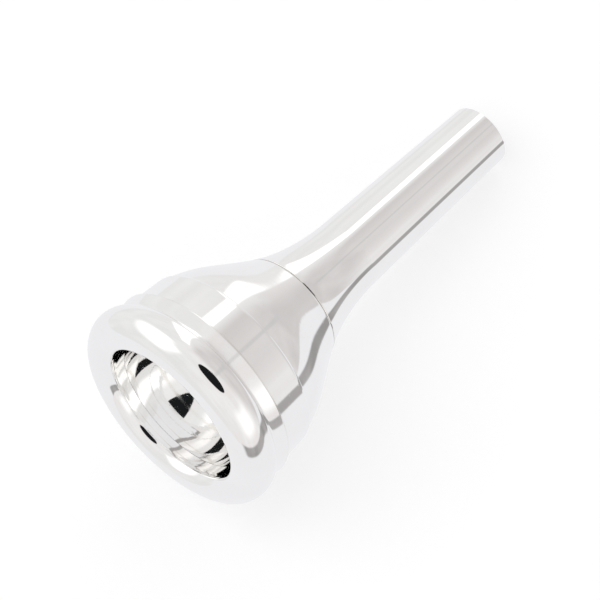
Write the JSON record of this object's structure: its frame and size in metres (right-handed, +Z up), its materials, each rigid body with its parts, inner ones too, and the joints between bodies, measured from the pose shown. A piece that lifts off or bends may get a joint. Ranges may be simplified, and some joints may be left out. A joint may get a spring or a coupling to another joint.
{
  "type": "low brass mouthpiece",
  "caption": "Silver-plated low brass mouthpiece with a rounded rim, bowl cup and a shank that flares smoothly into the cup; rim, cup and shank screw together.",
  "frame": {"origin": "under the middle of the length, on the plane that the rim's lowest point touches", "axes": "+Y along the bore from the rim to the shank's end, +Z up"},
  "size_m": [0.0384, 0.0788, 0.0384],
  "materials": {
    "silver": "turned brass, silver plated and mirror polished",
    "seal": "smooth black sealing rubber"
  },
  "bodies": {
    "cup": {"cup": "silver"},
    "rim": {"rim": "silver"},
    "shank": {"shank": "silver"},
    "rim_seal": {"rim_o_ring": "seal"},
    "shank_seal": {"shank_o_ring": "seal"}
  },
  "joints": [
    {"name": "rim_travel", "type": "slide", "parent": "cup", "child": "rim_seal", "axis": [0, -1, 0], "range_m": [0, 0.003]},
    {"name": "rim_turn", "type": "hinge", "parent": "rim_seal", "child": "rim", "pos_m": [0, -0.0301, 0.0192], "axis": [0, -1, 0], "range_deg": [0, 1080.1]},
    {"name": "shank_travel", "type": "slide", "parent": "cup", "child": "shank_seal", "axis": [0, 1, 0], "range_m": [0, 0.004]},
    {"name": "shank_turn", "type": "hinge", "parent": "shank_seal", "child": "shank", "pos_m": [0, -0.0098, 0.0192], "axis": [0, 1, 0], "range_deg": [0, 1440.1]}
  ],
  "couplings": [
    {"joint": "rim_turn", "follows": "rim_travel", "rad_per_m": 6283.2},
    {"joint": "shank_turn", "follows": "shank_travel", "rad_per_m": 6283.2}
  ]
}
